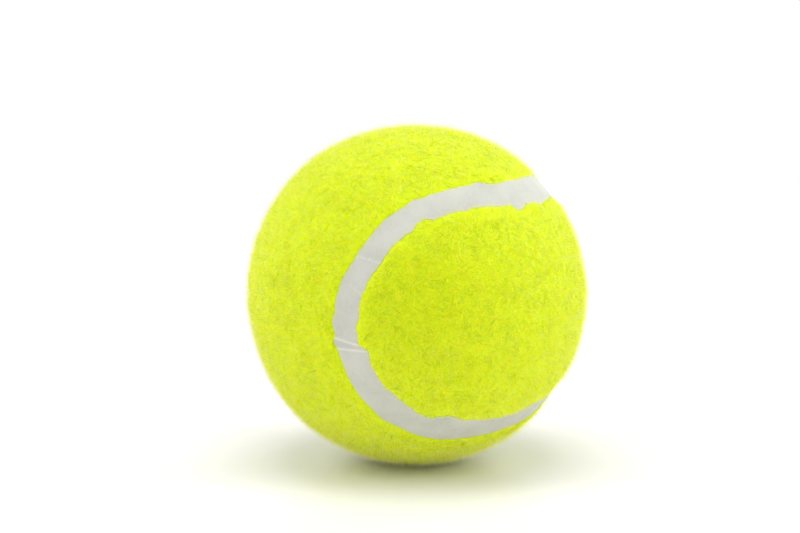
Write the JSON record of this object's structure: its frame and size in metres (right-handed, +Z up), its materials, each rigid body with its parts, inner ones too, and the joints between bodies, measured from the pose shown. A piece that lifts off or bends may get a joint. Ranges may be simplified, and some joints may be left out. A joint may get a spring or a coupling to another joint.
{
  "type": "tennis ball",
  "caption": "Hollow rubber ball under bright yellow-green felt, cut as interlocking dumbbell panels that meet along a pale grey rubber seam winding round the ball.",
  "frame": {"origin": "the ball's centre", "axes": "+Z up as the ball lies, -Y to the front, where the seam's U opens to +X, the right"},
  "size_m": [0.067, 0.067, 0.067],
  "materials": {
    "felt": "raised, teased wool and nylon nap, matt",
    "seam_rubber": "smooth moulded rubber, satin",
    "core_rubber": "moulded and buffed rubber, matt",
    "joint_cement": "cured rubber cement, satin",
    "rubber_solution": "thin cured rubber solution, tacky matt"
  },
  "bodies": {
    "root": {"core_half_upper": "core_rubber", "core_half_lower": "core_rubber", "core_joint_cement": "joint_cement", "core_coat": "rubber_solution", "back_coat_left": "rubber_solution", "back_coat_right": "rubber_solution", "felt_panel_left": "felt", "felt_panel_right": "felt", "seam_strip": "seam_rubber"}
  },
  "joints": []
}
